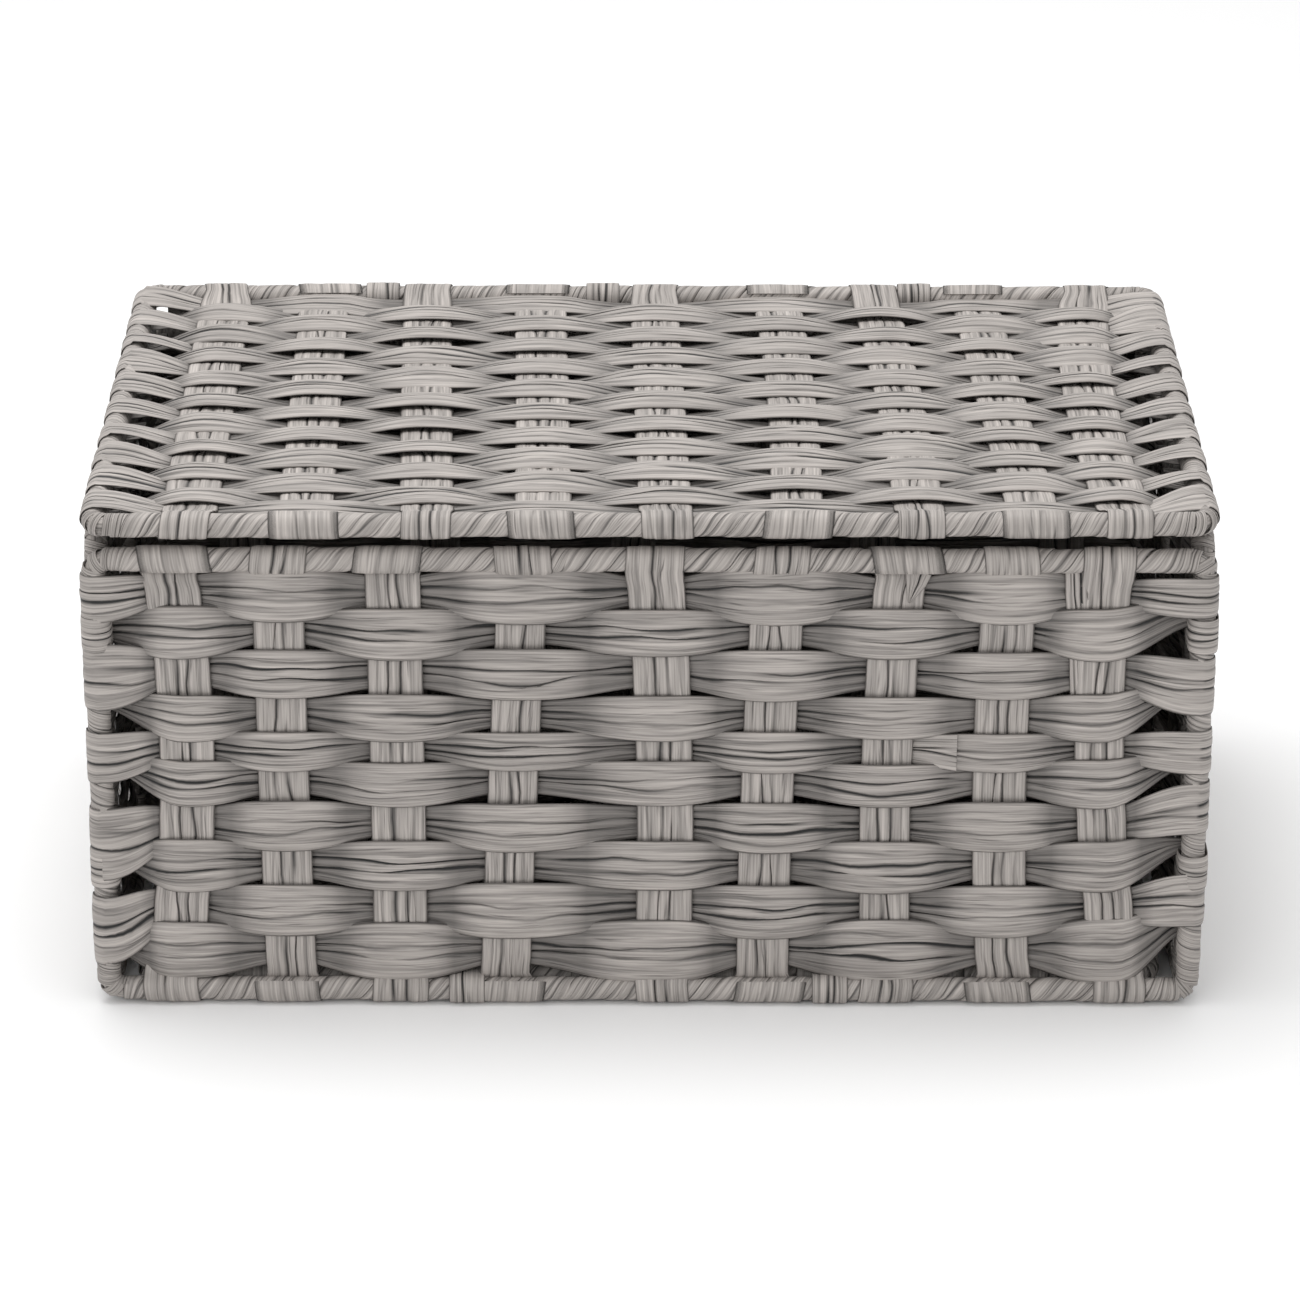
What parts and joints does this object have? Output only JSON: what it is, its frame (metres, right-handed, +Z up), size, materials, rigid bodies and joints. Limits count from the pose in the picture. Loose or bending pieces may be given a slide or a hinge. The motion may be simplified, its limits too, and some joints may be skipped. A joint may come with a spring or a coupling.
{
  "type": "collapsible storage basket",
  "caption": "Lidded woven paper-ribbon storage basket: wrapped wire-framed panels tied edge to edge, so the side walls and base fold and the basket packs flat.",
  "frame": {"origin": "centre of the basket's footprint, on the surface that it stands on", "axes": "+X to the right along the long front, +Y from the front to the back, +Z up"},
  "size_m": [0.36, 0.226, 0.172],
  "materials": {
    "wire_steel": "satin",
    "wound_ribbon": "matte",
    "woven_ribbon": "matte"
  },
  "bodies": {
    "back_panel": {"back_wire": "wire_steel", "back_wrap": "wound_ribbon", "back_weave": "woven_ribbon", "back_left_tie_low": "wound_ribbon", "back_left_tie_high": "wound_ribbon", "back_right_tie_low": "wound_ribbon", "back_right_tie_high": "wound_ribbon", "base_back_tie_left": "wound_ribbon", "base_back_tie_right": "wound_ribbon", "lid_tie_left": "wound_ribbon", "lid_tie_middle": "wound_ribbon", "lid_tie_right": "wound_ribbon"},
    "lid": {"lid_wire": "wire_steel", "lid_wrap": "wound_ribbon", "lid_weave": "woven_ribbon"},
    "left_rear_leaf": {"left_rear_wire": "wire_steel", "left_rear_wrap": "wound_ribbon", "left_rear_weave": "woven_ribbon"},
    "left_fold_link": {"left_fold_tie_low": "wound_ribbon", "left_fold_tie_high": "wound_ribbon"},
    "left_front_leaf": {"left_front_wire": "wire_steel", "left_front_wrap": "wound_ribbon", "left_front_weave": "woven_ribbon"},
    "front_panel": {"front_wire": "wire_steel", "front_wrap": "wound_ribbon", "front_weave": "woven_ribbon", "front_left_tie_low": "wound_ribbon", "front_left_tie_high": "wound_ribbon", "front_right_tie_low": "wound_ribbon", "front_right_tie_high": "wound_ribbon", "base_front_edge_tie_left": "wound_ribbon", "base_front_edge_tie_right": "wound_ribbon"},
    "right_rear_leaf": {"right_rear_wire": "wire_steel", "right_rear_wrap": "wound_ribbon", "right_rear_weave": "woven_ribbon"},
    "right_fold_link": {"right_fold_tie_low": "wound_ribbon", "right_fold_tie_high": "wound_ribbon"},
    "right_front_leaf": {"right_front_wire": "wire_steel", "right_front_wrap": "wound_ribbon", "right_front_weave": "woven_ribbon"},
    "base_rear_leaf": {"base_rear_wire": "wire_steel", "base_rear_wrap": "wound_ribbon", "base_rear_weave": "woven_ribbon"},
    "base_fold_link": {"base_fold_tie_left": "wound_ribbon", "base_fold_tie_right": "wound_ribbon"},
    "base_front_leaf": {"base_front_wire": "wire_steel", "base_front_wrap": "wound_ribbon", "base_front_weave": "woven_ribbon"}
  },
  "joints": [
    {"name": "lid_hinge", "type": "hinge", "parent": "back_panel", "child": "lid", "pos_m": [0, 0.1084, 0.1674], "axis": [-1, 0, 0], "range_deg": [0, 180]},
    {"name": "wall_fold", "type": "hinge", "parent": "back_panel", "child": "left_rear_leaf", "pos_m": [-0.1754, 0.0984, 0.0812], "axis": [0, 0, -1], "range_deg": [0, 90]},
    {"name": "left_fold_rear_pivot", "type": "hinge", "parent": "left_rear_leaf", "child": "left_fold_link", "pos_m": [-0.1754, 0.005, 0.0812], "axis": [0, 0, 1], "range_deg": [0, 90]},
    {"name": "left_fold_front_pivot", "type": "hinge", "parent": "left_fold_link", "child": "left_front_leaf", "pos_m": [-0.1754, -0.005, 0.0812], "axis": [0, 0, 1], "range_deg": [0, 90]},
    {"name": "back_right_corner_pivot", "type": "hinge", "parent": "back_panel", "child": "right_rear_leaf", "pos_m": [0.1754, 0.0984, 0.0812], "axis": [0, 0, 1], "range_deg": [0, 90]},
    {"name": "right_fold_rear_pivot", "type": "hinge", "parent": "right_rear_leaf", "child": "right_fold_link", "pos_m": [0.1754, 0.005, 0.0812], "axis": [0, 0, -1], "range_deg": [0, 90]},
    {"name": "right_fold_front_pivot", "type": "hinge", "parent": "right_fold_link", "child": "right_front_leaf", "pos_m": [0.1754, -0.005, 0.0812], "axis": [0, 0, -1], "range_deg": [0, 90]},
    {"name": "base_back_pivot", "type": "hinge", "parent": "back_panel", "child": "base_rear_leaf", "pos_m": [0, 0.0984, 0.0046], "axis": [-1, 0, 0], "range_deg": [0, 90]},
    {"name": "base_fold_rear_pivot", "type": "hinge", "parent": "base_rear_leaf", "child": "base_fold_link", "pos_m": [0, 0.005, 0.0046], "axis": [1, 0, 0], "range_deg": [0, 90]},
    {"name": "base_fold_front_pivot", "type": "hinge", "parent": "base_fold_link", "child": "base_front_leaf", "pos_m": [0, -0.005, 0.0046], "axis": [1, 0, 0], "range_deg": [0, 90]},
    {"name": "base_front_pivot", "type": "hinge", "parent": "base_front_leaf", "child": "front_panel", "pos_m": [0, -0.0984, 0.0046], "axis": [-1, 0, 0], "range_deg": [0, 90]}
  ],
  "couplings": [
    {"joint": "left_fold_rear_pivot", "follows": "wall_fold", "ratio": 1},
    {"joint": "left_fold_front_pivot", "follows": "wall_fold", "ratio": 1},
    {"joint": "back_right_corner_pivot", "follows": "wall_fold", "ratio": 1},
    {"joint": "right_fold_rear_pivot", "follows": "wall_fold", "ratio": 1},
    {"joint": "right_fold_front_pivot", "follows": "wall_fold", "ratio": 1},
    {"joint": "base_back_pivot", "follows": "wall_fold", "ratio": 1},
    {"joint": "base_fold_rear_pivot", "follows": "wall_fold", "ratio": 1},
    {"joint": "base_fold_front_pivot", "follows": "wall_fold", "ratio": 1},
    {"joint": "base_front_pivot", "follows": "wall_fold", "ratio": 1}
  ]
}
